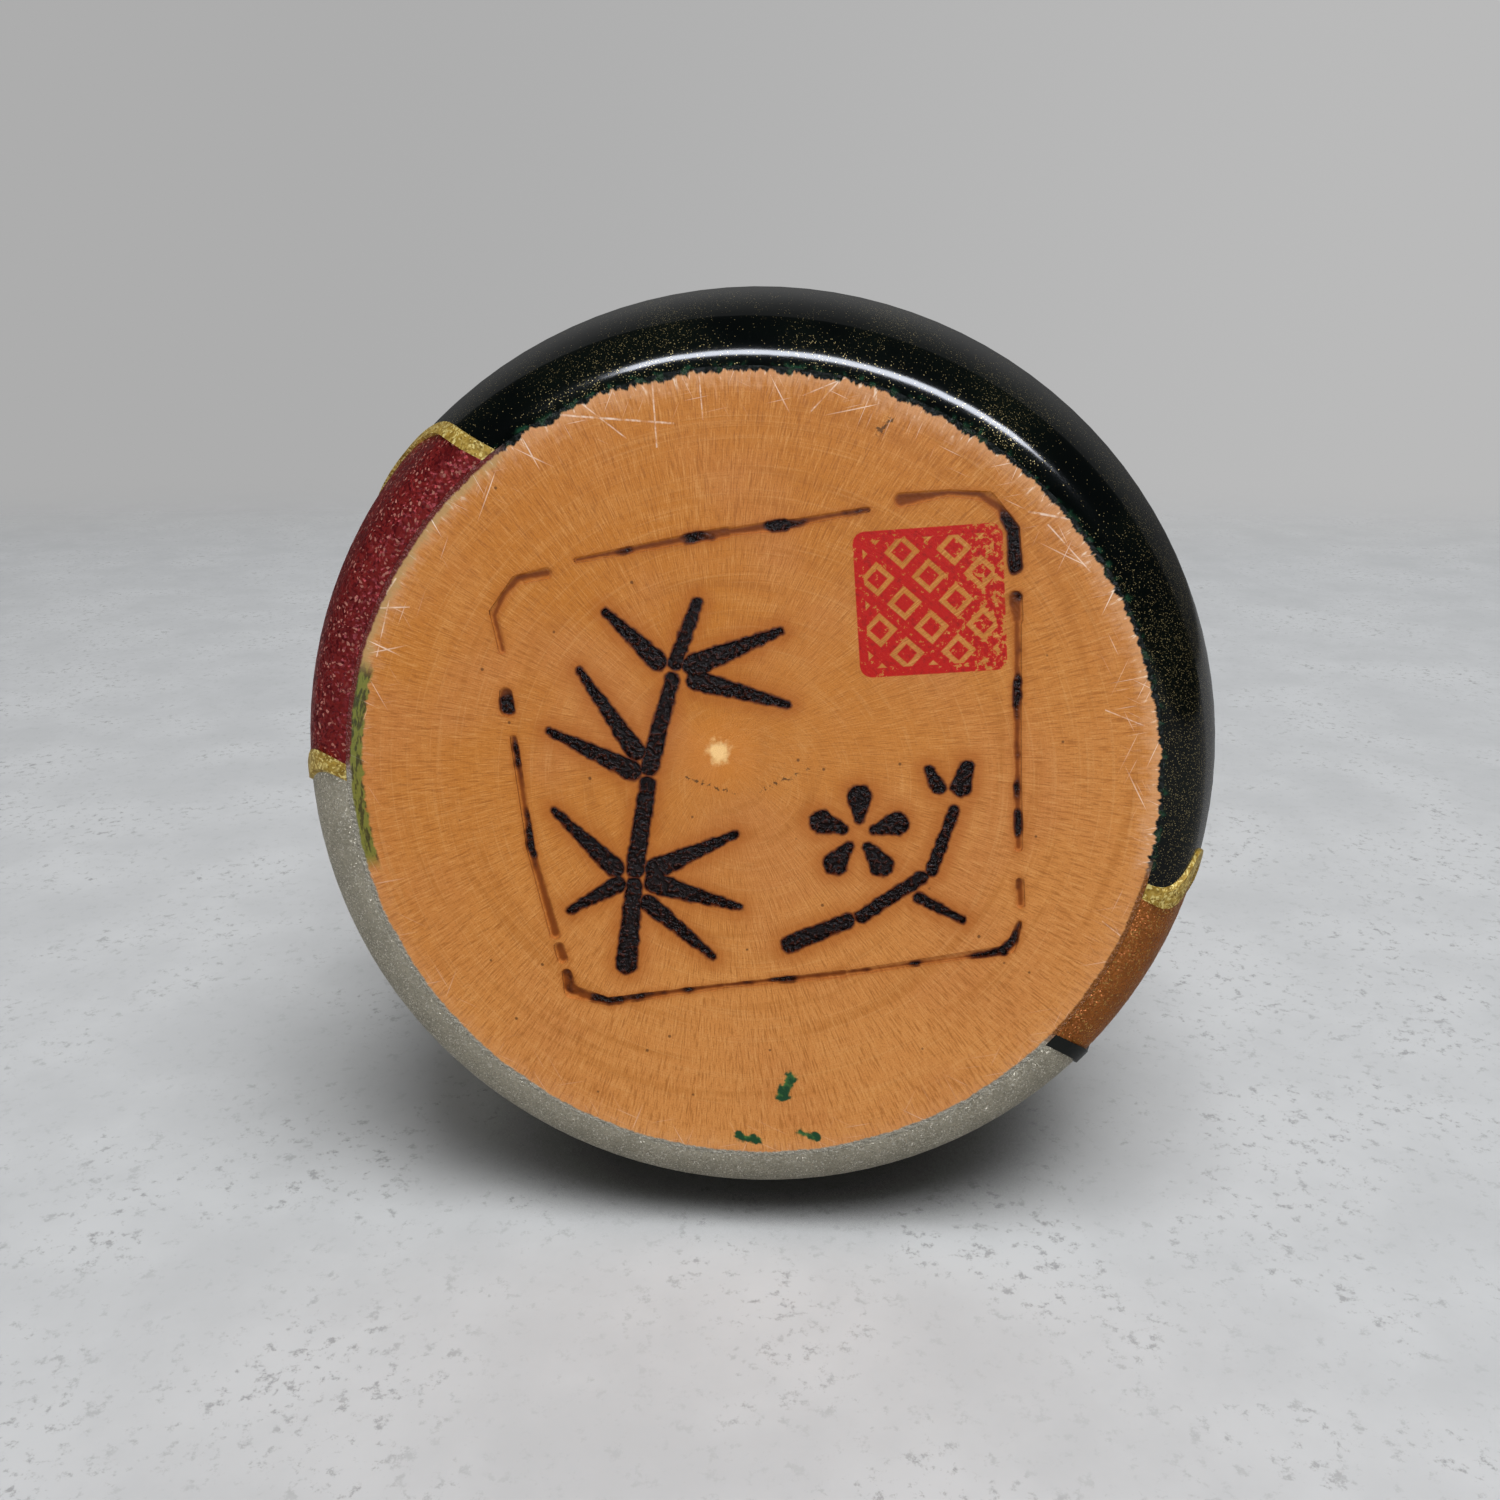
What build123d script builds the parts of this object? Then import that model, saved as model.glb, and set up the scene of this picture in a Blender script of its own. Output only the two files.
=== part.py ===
from build123d import *
from math import acos, atan2, cos, degrees, hypot, radians, sin, sqrt
import os

os.makedirs("parts", exist_ok=True)

# A kokeshi doll that stands upright: a turned body and a turned head on a neck dowel, under raised
# lacquer robes and a lacquer hair cap. +Z is up, the face looks along -Y, and the origin is at the
# centre of the flat base. Millimetres.

# body, turned from one log: a corner arc, a wall arc, a long side arc and a shoulder arc
body_radius = 48.6
bulge_height = 16.3
corner_radius = 5.0
wall_radius = 30.6
side_radius = 480.0
shoulder_radius = 34.0
shoulder_top = 152.0
neck_radius = 17.0
neck_length = 2.0

# lacquer layers laid on the body, and the raised cords along their edges
robe_thickness = 0.4
bond_gap = 0.02  # the film of size or glue under a layer and round the dowel
cord_width = 1.5
cord_relief = 0.35

# head, an oval of a cheek arc between two flatter arcs
head_radius = 40.0
cheek_radius = 31.0
crown_radius = 46.0
seat_radius = 20.0
head_gap = 0.2

# hair cap with its face opening
hair_thickness = 0.8
face_half_width = 27.0
fringe_height = 11.0
nape_drop = 17.0
face_corner_radius = 9.0

# neck dowel: fast in the head, free to turn in the body
dowel_radius = 7.0
dowel_in_head = 20.0
dowel_in_body = 24.0
dowel_clearance = 0.05
dowel_end_gap = 0.5
dowel_chamfer = 0.8

# marks burned into the base, as seen from underneath
base_turn = -27.0
burn_depth = 0.3

# the robe edges: the height of the waist that they pass, and the angle of each edge at the hem, above
# the corner, at the bulge, at the waist, at the shoulder and at the collar, counted from +X seen from
# above; red is on the doll's right, copper on its left
waist_height = 60.0
edge_angles = {
    "red_inner": (-154.3, -157.2, -174.0, -179.0, -166.0, -114.2),
    "red_outer": (-206.0, -206.5, -206.0, -204.0, -197.0, -159.3),
    "copper_inner": (-13.0, -16.6, -6.0, -1.5, -14.0, -65.8),
    "copper_outer": (13.0, 13.2, 13.0, 12.0, 7.0, -20.7),
}

# burned strokes: start x, y and half-width, then end x, y and half-width
frame_strokes = [
    (-24.3, 13.6, 0.40, -25.0, 17.4, 0.45),
    (-25.0, 17.4, 0.45, -22.6, 20.6, 0.50),
    (-22.6, 20.6, 0.50, -19.6, 21.3, 0.60),
    (-16.6, 22.6, 0.30, -6.0, 24.7, 0.50),
    (-6.0, 24.7, 0.55, -2.0, 25.4, 0.60),
    (-2.0, 25.4, 0.40, 3.6, 26.2, 0.60),
    (3.6, 26.2, 0.45, 11.4, 27.7, 0.30),
    (14.6, 28.6, 0.75, 19.0, 29.3, 0.35),
    (19.0, 29.3, 0.35, 22.8, 29.0, 0.50),
    (22.8, 29.0, 0.50, 25.2, 26.0, 0.60),
    (25.2, 26.0, 0.60, 25.5, 22.4, 0.70),
    (25.6, 19.4, 0.75, 25.9, 17.4, 0.60),
    (25.9, 17.4, 0.45, 26.6, 3.0, 0.40),
    (26.6, 3.0, 0.40, 27.1, -5.6, 0.45),
    (27.4, -9.2, 0.45, 27.6, -11.6, 0.45),
    (27.5, -13.6, 0.30, 26.8, -16.4, 0.55),
    (26.8, -16.4, 0.45, 10.0, -19.7, 0.35),
    (10.0, -19.7, 0.45, -2.6, -21.5, 0.30),
    (-2.6, -21.5, 0.35, -14.6, -23.6, 0.45),
    (-14.6, -23.6, 0.45, -18.4, -22.6, 0.80),
    (-18.4, -22.6, 0.85, -18.9, -20.6, 0.55),
    (-19.3, -18.9, 0.60, -19.6, -17.7, 0.60),
    (-20.0, -16.2, 0.60, -22.2, -7.0, 0.45),
    (-22.2, -7.0, 0.45, -23.5, 4.6, 0.40),
    (-24.0, 7.6, 0.75, -24.1, 9.2, 0.70),
]
bamboo_strokes = [
    (-12.6, -19.4, 1.00, -11.6, -10.6, 0.75),
    (-11.5, -8.9, 0.85, -10.0, 0.2, 0.70),
    (-9.8, 1.9, 0.80, -7.4, 11.0, 0.60),
    (-7.1, 12.6, 0.65, -4.9, 18.6, 0.45),
    (-9.3, -8.8, 1.05, -1.2, -4.9, 0.30),
    (-9.4, -10.4, 1.10, -0.9, -12.7, 0.30),
    (-10.1, -12.6, 0.90, -3.6, -18.2, 0.30),
    (-13.6, -8.8, 0.95, -19.6, -2.9, 0.30),
    (-13.3, -10.6, 0.80, -18.4, -13.6, 0.30),
    (-11.7, 1.6, 1.00, -19.8, 5.4, 0.30),
    (-11.2, 3.6, 0.90, -16.6, 11.6, 0.30),
    (-5.2, 12.4, 1.10, 3.2, 15.9, 0.30),
    (-5.0, 10.9, 0.95, 3.9, 8.6, 0.30),
    (-8.9, 12.8, 0.90, -13.9, 17.6, 0.30),
]
plum_strokes = [
    (4.4, -16.6, 0.85, 10.2, -13.9, 0.70),
    (11.6, -13.4, 0.60, 17.6, -9.0, 0.60),
    (18.6, -8.2, 0.55, 20.6, -1.9, 0.45),
    (17.4, -11.2, 0.50, 21.8, -13.4, 0.30),
    (21.2, 0.6, 0.95, 21.7, 2.6, 0.60),
    (19.0, 0.4, 0.60, 18.0, 2.2, 0.40),
]
blossom_centre = (11.2, -4.6)
blossom_petals = 5
petal_start = 1.6
petal_end = 3.9
petal_half_widths = (0.40, 1.15)


def bearing(start, end):
    return degrees(atan2(end[1] - start[1], end[0] - start[0]))


# worked out from the sizes above
wall_centre = (body_radius - wall_radius, bulge_height)
foot_radius = wall_centre[0] + sqrt(
    (wall_radius - corner_radius) ** 2 - (bulge_height - corner_radius) ** 2
)
corner_centre = (foot_radius, corner_radius)
side_centre = (body_radius - side_radius, bulge_height)
shoulder_centre_z = shoulder_top - shoulder_radius
shoulder_centre = (
    side_centre[0] + sqrt((side_radius - shoulder_radius) ** 2 - (shoulder_centre_z - bulge_height) ** 2),
    shoulder_centre_z,
)
cheek_centre_x = head_radius - cheek_radius
crown_centre_drop = sqrt((crown_radius - cheek_radius) ** 2 - cheek_centre_x**2)
wood_inset = robe_thickness + bond_gap
neck_height = shoulder_centre_z + sqrt(shoulder_radius**2 - (neck_radius - shoulder_centre[0]) ** 2)
neck_top = neck_height + neck_length
seat_height = neck_top + head_gap
head_height = seat_height + sqrt(crown_radius**2 - seat_radius**2) - crown_centre_drop
dowel_bottom = neck_top - dowel_in_body
# each level a robe edge passes, as radius and height
corner_end = bearing(wall_centre, corner_centre)
edge_levels = [
    (foot_radius, 0),
    (
        foot_radius + corner_radius * cos(radians(corner_end)),
        corner_radius + corner_radius * sin(radians(corner_end)),
    ),
    (body_radius, bulge_height),
    (side_centre[0] + sqrt(side_radius**2 - (waist_height - bulge_height) ** 2), waist_height),
    (shoulder_centre[0] + shoulder_radius, shoulder_centre_z),
    (neck_radius, neck_height),
]
reach = body_radius + cord_relief + cord_width  # clear of the whole body
red_side, copper_side = -1, 1
base_plane = Plane(origin=(0, 0, 0), x_dir=Vector(1, 0, 0).rotate(Axis.Z, base_turn), z_dir=(0, 0, -1))


def body_arcs(inset):
    """The side of the dressed body, from the foot to the neck, set in by inset."""
    side_end = bearing(side_centre, shoulder_centre)
    neck_end = degrees(acos((neck_radius - shoulder_centre[0]) / (shoulder_radius - inset)))
    CenterArc(corner_centre, corner_radius - inset, -90, corner_end + 90)
    CenterArc(wall_centre, wall_radius - inset, corner_end, -corner_end)
    CenterArc(side_centre, side_radius - inset, 0, side_end)
    return CenterArc(shoulder_centre, shoulder_radius - inset, side_end, neck_end - side_end)


def turned_layer(outer_inset):
    """A lacquer layer all round the body; a negative inset stands proud of the robes."""
    with BuildPart() as layer:
        with BuildSketch(Plane.XZ):
            with BuildLine():
                outer = body_arcs(outer_inset)
                inner = body_arcs(robe_thickness)
                Line((foot_radius, outer_inset), (foot_radius, robe_thickness))
                Line(outer @ 1, inner @ 1)
            make_face()
        revolve(axis=Axis.Z)
        split(bisect_by=Plane.XY, keep=Keep.TOP)
    return layer.part


def robe_edge(name):
    """One robe edge seen from the side, run on a little past the hem and the collar."""
    points = [
        (radius * sin(radians(angle)), height)
        for (radius, height), angle in zip(edge_levels, edge_angles[name])
    ]
    below = (points[0][0], -neck_length)
    above = (points[-1][0], neck_top)
    Spline(below, *points, above)
    return below, above


def side_line(y):
    """A straight border seen from the side, as long as a robe edge."""
    below, above = (y, -neck_length), (y, neck_top)
    Line(below, above)
    return below, above


def side_panel(side, front, back):
    """All that lies on one side of the doll between two borders, each an edge's name or a y."""
    with BuildPart() as panel:
        with BuildSketch(Plane.YZ):
            with BuildLine():
                ends = [robe_edge(b) if isinstance(b, str) else side_line(b) for b in (front, back)]
                Line(ends[0][0], ends[1][0])
                Line(ends[0][1], ends[1][1])
            make_face()
        extrude(amount=side * reach)
    return panel.part


def head_arcs(inset):
    """The side of the head, from its seat to the crown, set in by inset."""
    blend = degrees(atan2(crown_centre_drop, cheek_centre_x))
    chin_start = -degrees(acos(seat_radius / crown_radius))
    chin = (0, head_height + crown_centre_drop)
    crown = (0, head_height - crown_centre_drop)
    start = CenterArc(chin, crown_radius - inset, chin_start, -blend - chin_start)
    CenterArc((cheek_centre_x, head_height), cheek_radius - inset, -blend, 2 * blend)
    end = CenterArc(crown, crown_radius - inset, blend, 90 - blend)
    return start @ 0, end @ 1


def burned_stroke(start_x, start_y, start_half, end_x, end_y, end_half):
    """One stroke of the burning iron, tapered between two round ends."""
    length = hypot(end_x - start_x, end_y - start_y)
    across_x = (start_y - end_y) / length
    across_y = (end_x - start_x) / length
    corners = [
        (start_x + across_x * start_half, start_y + across_y * start_half),
        (start_x - across_x * start_half, start_y - across_y * start_half),
        (end_x - across_x * end_half, end_y - across_y * end_half),
        (end_x + across_x * end_half, end_y + across_y * end_half),
    ]
    Polygon(*corners, align=None)
    for x, y, half in [(start_x, start_y, start_half), (end_x, end_y, end_half)]:
        with Locations((x, y)):
            Circle(half)


# body
with BuildPart() as body:
    with BuildSketch(Plane.XZ):
        with BuildLine():
            shoulder = body_arcs(wood_inset)
            Polyline(
                (foot_radius, wood_inset),
                (foot_radius - bond_gap, wood_inset),
                (foot_radius - bond_gap, 0),
                (0, 0),
                (0, neck_top),
                (neck_radius - bond_gap, neck_top),
                (neck_radius - bond_gap, (shoulder @ 1).Y),
                shoulder @ 1,
            )
        make_face()
    revolve(axis=Axis.Z)
    with BuildSketch(Plane.XY.offset(neck_top)):
        Circle(dowel_radius + dowel_clearance)
    extrude(amount=-dowel_in_body - dowel_end_gap, mode=Mode.SUBTRACT)
    with BuildSketch(base_plane):
        for stroke in frame_strokes + bamboo_strokes + plum_strokes:
            burned_stroke(*stroke)
        with Locations(blossom_centre):
            for turn in range(blossom_petals):
                angle = radians(90 + 360 / blossom_petals * turn)
                start = (petal_start * cos(angle), petal_start * sin(angle))
                end = (petal_end * cos(angle), petal_end * sin(angle))
                burned_stroke(*start, petal_half_widths[0], *end, petal_half_widths[1])
    extrude(amount=-burn_depth, mode=Mode.SUBTRACT)

# ribbons along the four robe edges, cut out of the robes and kept for the cords
ribbons = {}
for edge_name in edge_angles:
    with BuildPart() as ribbon:
        with BuildSketch(Plane.YZ):
            with BuildLine():
                robe_edge(edge_name)
            trace(line_width=cord_width)
        extrude(amount=(red_side if edge_name.startswith("red") else copper_side) * reach)
    ribbons[edge_name] = ribbon.part


def robe(*panels):
    """The part of the robe layer inside the panels and clear of the cords."""
    with BuildPart() as cut:
        add(panels)
        add(robe_layer, mode=Mode.INTERSECT)
        for ribbon_part in ribbons.values():
            add(ribbon_part, mode=Mode.SUBTRACT)
    return cut.part


robe_layer = turned_layer(0)
cord_layer = turned_layer(-cord_relief)
front_robe = robe(
    side_panel(red_side, -reach, "red_inner"), side_panel(copper_side, -reach, "copper_inner")
)
red_robe = robe(side_panel(red_side, "red_inner", "red_outer"))
copper_robe = robe(side_panel(copper_side, "copper_inner", "copper_outer"))
silver_robe = robe(
    side_panel(red_side, "red_outer", reach), side_panel(copper_side, "copper_outer", reach)
)

# raised cords along the robe edges
cords = {}
for edge_name, ribbon_part in ribbons.items():
    with BuildPart() as cord:
        add(cord_layer)
        add(ribbon_part, mode=Mode.INTERSECT)
    cord.part.label = edge_name + "_cord"
    cords[edge_name] = cord.part

# neck dowel
with BuildPart() as neck_dowel:
    with BuildSketch(Plane.XY.offset(dowel_bottom)):
        Circle(dowel_radius)
    extrude(amount=dowel_in_body + head_gap + dowel_in_head)
    chamfer(neck_dowel.edges().filter_by(GeomType.CIRCLE), dowel_chamfer)

# head
with BuildPart() as head:
    with BuildSketch(Plane.XZ):
        with BuildLine():
            seat_edge, crown_top = head_arcs(0)
            Polyline(crown_top, (0, seat_height), seat_edge)
        make_face()
    revolve(axis=Axis.Z)
    with BuildSketch(Plane.XY.offset(seat_height)):
        Circle(dowel_radius + bond_gap)
    extrude(amount=dowel_in_head + dowel_end_gap, mode=Mode.SUBTRACT)

# hair cap
with BuildPart() as hair:
    with BuildSketch(Plane.XZ):
        with BuildLine():
            skin_seat, skin_top = head_arcs(-bond_gap)
            hair_seat, hair_top = head_arcs(-hair_thickness)
            Line(skin_seat, hair_seat)
            Line(skin_top, hair_top)
        make_face()
    revolve(axis=Axis.Z)
    split(bisect_by=Plane.XY.offset(head_height - nape_drop), keep=Keep.TOP)
    with BuildSketch(Plane.XZ):
        with Locations((0, head_height + fringe_height)):
            Rectangle(2 * face_half_width, 2 * nape_drop + fringe_height, align=(Align.CENTER, Align.MAX))
        fillet(vertices().group_by(Axis.Y)[-1], face_corner_radius)
    extrude(amount=2 * head_radius, mode=Mode.SUBTRACT)

body.part.label = "body"
export_step(body.part, "parts/body.step")
front_robe.label = "front_robe"
export_step(front_robe, "parts/front_robe.step")
red_robe.label = "red_robe"
export_step(red_robe, "parts/red_robe.step")
copper_robe.label = "copper_robe"
export_step(copper_robe, "parts/copper_robe.step")
silver_robe.label = "silver_robe"
export_step(silver_robe, "parts/silver_robe.step")
for edge_name, cord_part in cords.items():
    export_step(cord_part, f"parts/{edge_name}_cord.step")
neck_dowel.part.label = "neck_dowel"
export_step(neck_dowel.part, "parts/neck_dowel.step")
head.part.label = "head"
export_step(head.part, "parts/head.step")
hair.part.label = "hair"
export_step(hair.part, "parts/hair.step")
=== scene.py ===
import math

import bmesh
import bpy
from mathutils import Matrix, Vector


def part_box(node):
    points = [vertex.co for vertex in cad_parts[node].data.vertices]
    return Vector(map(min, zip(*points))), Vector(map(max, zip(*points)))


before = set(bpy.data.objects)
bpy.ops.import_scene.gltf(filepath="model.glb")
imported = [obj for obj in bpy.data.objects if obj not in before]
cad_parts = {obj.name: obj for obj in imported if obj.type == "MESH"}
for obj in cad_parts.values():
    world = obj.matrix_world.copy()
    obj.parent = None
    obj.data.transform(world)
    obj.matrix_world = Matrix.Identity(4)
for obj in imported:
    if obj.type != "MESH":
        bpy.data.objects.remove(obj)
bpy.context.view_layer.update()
scene = bpy.context.scene
scene.view_settings.view_transform = "Standard"
print("frame loaded")

perMm = 1000.0  # object coordinates are metres


def linear(hexColour):
    channels = [int(hexColour[i : i + 2], 16) / 255 for i in (1, 3, 5)]
    return [c / 12.92 if c <= 0.04045 else ((c + 0.055) / 1.055) ** 2.4 for c in channels] + [1.0]


def addNode(tree, kind, inputs=(), output=0, **settings):
    # inputs is a list in socket order or a dictionary by socket; None leaves a socket as it is
    made = tree.nodes.new("ShaderNode" + kind)
    for key, value in settings.items():
        setattr(made, key, value)
    for key, value in inputs.items() if isinstance(inputs, dict) else enumerate(inputs):
        if isinstance(value, bpy.types.NodeSocket):
            tree.links.new(value, made.inputs[key])
        elif value is not None:
            made.inputs[key].default_value = value
    return made.outputs[output] if made.outputs else None


def blend(tree, factor, first, second):
    # two colours, each a socket or a hex value
    first, second = [linear(c) if isinstance(c, str) else c for c in (first, second)]
    return addNode(tree, "Mix", {0: factor, 6: first, 7: second}, output=2, data_type="RGBA")


def ramp(tree, value, low, high, start=0.0, end=1.0):
    return addNode(tree, "MapRange", [value, low, high, start, end], interpolation_type="SMOOTHSTEP")


def startMaterial(name):
    material = bpy.data.materials.new(name)
    material.use_nodes = True
    material.node_tree.nodes.clear()
    return material, material.node_tree


def finishMaterial(tree, shader):
    addNode(tree, "OutputMaterial", {"Surface": shader})


# the doll lies on its back on the floor, its base to the camera
lie = {
    "upAngle": -117.0,  # where up points, from +X, seen from above the standing doll
    "floorTilt": 2.93,  # the head is slimmer than the body, so the axis runs down towards it
    "floorSize": 4.0,
    "floorFade": (0.36, 0.62),  # how far past the base it fades into the wall
    "floorReach": (0.50, 0.80),  # and how far out on every side
    "floorMirrored": 0.28,  # how much of it a glossy skin mirrors
}
up = Vector((math.cos(math.radians(lie["upAngle"])), math.sin(math.radians(lie["upAngle"])), 0))
right = Vector((-up.y, up.x, 0))
axis = Vector((0, 0, 1))


def place(obj, x, y, z, origin):
    obj.matrix_world = Matrix.Translation(origin) @ Matrix((x, y, z)).transposed().to_4x4()


camera = {
    "distance": 0.150,
    "pitch": 16.26,
    "yaw": 4.36,
    "lens": 36.0,
    "sensor": 36.0,
    "clip": (0.01, 50.0),
    "rise": 0.0252,  # how far the middle of the picture stands over the base's centre, per metre away
    "drift": 0.0018,  # and to its right
}


def makeCamera():
    pitch, yaw = math.radians(camera["pitch"]), math.radians(camera["yaw"])
    back = math.cos(pitch) * (math.sin(yaw) * right - math.cos(yaw) * axis) + math.sin(pitch) * up
    data = bpy.data.cameras.new("camera")
    data.sensor_width = camera["sensor"]
    data.lens = camera["lens"]
    data.clip_start, data.clip_end = camera["clip"]
    obj = bpy.data.objects.new("camera", data)
    scene.collection.objects.link(obj)
    side = up.cross(back).normalized()
    top = back.cross(side)
    stand = back * camera["distance"]
    back = (back - camera["rise"] * top - camera["drift"] * side).normalized()
    side = top.cross(back).normalized()
    place(obj, side, back.cross(side), back, stand)
    scene.camera = obj


makeCamera()


plaster = {
    "mottle": ("#b5b7b9", "#bfc1c3"),
    "mottleScale": 45.0,  # noise cells to the metre
    "pits": "#818182",
    "pitScale": 620.0,
    # the colour of the painted contact shadow under the doll
    "paintedShade": "#1c1c1c",
    "paintedShadeReach": 0.02,  # how near the doll the painted shade darkens the floor
}


def makePlaster():
    # matt pale plaster, one-sided, so the standing doll can be seen from every side
    material, tree = startMaterial("matt_pale_plaster")
    where = addNode(tree, "TexCoord", output="Object")
    mottle = addNode(tree, "TexNoise", {
        "Vector": where, "Scale": plaster["mottleScale"], "Detail": 6.0, "Roughness": 0.6})
    colour = blend(tree, ramp(tree, mottle, 0.3, 0.7), *plaster["mottle"])
    pits = addNode(tree, "TexNoise", {
        "Vector": where, "Scale": plaster["pitScale"], "Detail": 5.0, "Roughness": 0.75})
    pits = addNode(tree, "Math", [ramp(tree, pits, 0.54, 0.66), ramp(tree, mottle, 0.42, 0.62, 0.15, 0.65)],
                   operation="MULTIPLY")
    colour = blend(tree, pits, colour, plaster["pits"])
    # painted shade: the floor's colour darkens to near black where the doll hides the sky from it, a contact
    # shadow where they touch
    openness = addNode(tree, "AmbientOcclusion", {"Distance": plaster["paintedShadeReach"]}, output="AO", samples=8)
    colour = blend(tree, ramp(tree, openness, 0.60, 0.18, 0.0, 0.9), colour, plaster["paintedShade"])

    # only the camera and what shines see the floor, so it takes shadows and throws no light back
    away = addNode(tree, "SeparateXYZ", [where], output="Z")
    near = ramp(tree, away, *lie["floorFade"], 1.0, 0.0)
    reach = addNode(tree, "VectorMath", [where], operation="LENGTH", output="Value")
    near = addNode(tree, "Math", [near, ramp(tree, reach, *lie["floorReach"], 1.0, 0.0)],
                   operation="MULTIPLY")
    cameraRay = addNode(tree, "LightPath", output="Is Camera Ray")
    glossyRay = addNode(tree, "LightPath", output="Is Glossy Ray")
    behind = addNode(tree, "NewGeometry", output="Backfacing")
    seen = addNode(tree, "Math", [glossyRay, lie["floorMirrored"], cameraRay], operation="MULTIPLY_ADD")
    seen = addNode(tree, "Math", [seen, behind], operation="SUBTRACT", use_clamp=True)
    seen = addNode(tree, "Math", [seen, near], operation="MULTIPLY")
    finishMaterial(tree, addNode(tree, "MixShader", [
        seen, addNode(tree, "BsdfTransparent"), addNode(tree, "BsdfDiffuse", {"Color": colour})]))
    return material


def makeFloor():
    tilt = math.radians(lie["floorTilt"])
    normal = math.cos(tilt) * up - math.sin(tilt) * axis
    depth = max(-normal.dot(v.co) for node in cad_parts.values() for v in node.data.vertices)
    mesh = bmesh.new()
    bmesh.ops.create_grid(mesh, x_segments=1, y_segments=1, size=lie["floorSize"] / 2)
    turn = Matrix((right, normal.cross(right), normal)).transposed().to_4x4()
    bmesh.ops.transform(mesh, matrix=Matrix.Translation(-normal * depth) @ turn, verts=mesh.verts)
    data = bpy.data.meshes.new("floor")
    mesh.to_mesh(data)
    mesh.free()
    data.materials.append(makePlaster())
    floor = bpy.data.objects.new("floor", data)
    scene.collection.objects.link(floor)


makeFloor()

studio = {
    "ambient": 0.05,
    "wall": ("#adadad", "#bababa"),
    "ceiling": 0.015,  # what a glossy skin mirrors overhead
    "farWall": 0.24,  # and past the head
    "underfoot": 0.22,  # and the share of that left below
}


def makeStudio():
    world = bpy.data.worlds.new("studio")
    scene.world = world
    world.use_nodes = True
    tree = world.node_tree
    tree.nodes.clear()
    direction = addNode(tree, "TexCoord", output="Generated")
    across = addNode(tree, "VectorMath", [direction, right], operation="DOT_PRODUCT", output="Value")
    along = addNode(tree, "SeparateXYZ", [direction], output="Z")
    wall = blend(tree, ramp(tree, across, -0.35, 0.35), *studio["wall"])
    above = addNode(tree, "VectorMath", [direction, up], operation="DOT_PRODUCT", output="Value")
    mirrored = ramp(tree, along, 0.4, 1.1, studio["ceiling"], studio["farWall"])
    dimmed = ramp(tree, above, -0.1, 0.6, studio["underfoot"], 1.0)
    mirrored = addNode(tree, "Math", [mirrored, dimmed], operation="MULTIPLY")
    cameraRay = addNode(tree, "LightPath", output="Is Camera Ray")
    glossyRay = addNode(tree, "LightPath", output="Is Glossy Ray")
    strength = addNode(tree, "Mix", {0: glossyRay, 2: studio["ambient"], 3: mirrored}, data_type="FLOAT")
    lit = addNode(tree, "Background", {"Color": linear("#ffffff"), "Strength": strength})
    shown = addNode(tree, "Background", {"Color": wall})
    addNode(tree, "OutputWorld", {"Surface": addNode(tree, "MixShader", [cameraRay, lit, shown])})


makeStudio()

# the strip shows only in what shines, and the broad boxes only give light
softboxes = {
    "stripLight": {"towards": -0.85 * axis + 0.5 * up + 0.12 * right, "distance": 0.70, "size": (0.62, 0.11),
                   "radiance": 21.0, "colour": "#eef3ff", "mirrored": True},
    "frontLight": {"towards": -axis - 0.02 * up, "distance": 1.20, "size": (0.60, 0.30),
                   "radiance": 14.5, "colour": "#ffffff", "mirrored": False},
    "topLight": {"towards": -0.32 * axis + 0.88 * up + 0.14 * right, "distance": 1.20, "size": (0.80, 0.80),
                 "radiance": 8.8, "colour": "#ffffff", "mirrored": False},
    "headLight": {"towards": 0.90 * axis + 0.40 * up + 0.20 * right, "distance": 1.20, "size": (0.90, 0.90),
                  "radiance": 1.2, "colour": "#ffffff", "mirrored": False},
    "leftLight": {"towards": -0.95 * right - 0.05 * up + 0.10 * axis, "distance": 1.20, "size": (0.90, 0.90),
                  "radiance": 2.8, "colour": "#ffffff", "mirrored": False},
    "rightLight": {"towards": 0.95 * right - 0.05 * up + 0.10 * axis, "distance": 1.20, "size": (0.90, 0.90),
                   "radiance": 2.0, "colour": "#ffffff", "mirrored": False},
    "bounceLight": {"towards": -up + 0.25 * axis, "distance": 1.20, "size": (0.90, 0.90),
                    "radiance": 1.4, "colour": "#ffffff", "mirrored": False},
}


def makeSoftbox(name, box):
    data = bpy.data.lights.new(name, "AREA")
    data.shape = "RECTANGLE"
    data.size, data.size_y = box["size"]
    data.energy = box["radiance"] * math.pi * box["size"][0] * box["size"][1]
    data.color = linear(box["colour"])[:3]
    lamp = bpy.data.objects.new(name, data)
    lamp.visible_glossy = box["mirrored"]
    lamp.visible_diffuse = not box["mirrored"]
    scene.collection.objects.link(lamp)
    z = box["towards"].normalized()
    x = up.cross(z).normalized()
    place(lamp, x, z.cross(x), z, z * box["distance"])


for name, box in softboxes.items():
    makeSoftbox(name, box)
print("camera, floor and lights made")

# the base, in millimetres from its centre, x to the right and y up as it lies
base = {
    "lacquerEdge": 40.45,  # how far out the lacquer ends on average
    "edgeWear": (0.4, 1.35),  # how ragged that edge is, least and in the black lacquer
    "edgeTeeth": 70.0,
    "paleFringe": 2.2,
    "pith": (-2.9, 3.6, 0),
    "grainDepth": 0.016,
    "charDepth": 0.45,
}
stamp = {
    "place": (17.6, 19.0, 0),
    "size": 14.2,
    "turn": 4.5,
    "corner": 1.2,
    "border": 0.45,
    "cell": 3.5,
    "inks": ("#b0070f", "#8c040b"),  # thin and thick
}
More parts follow.
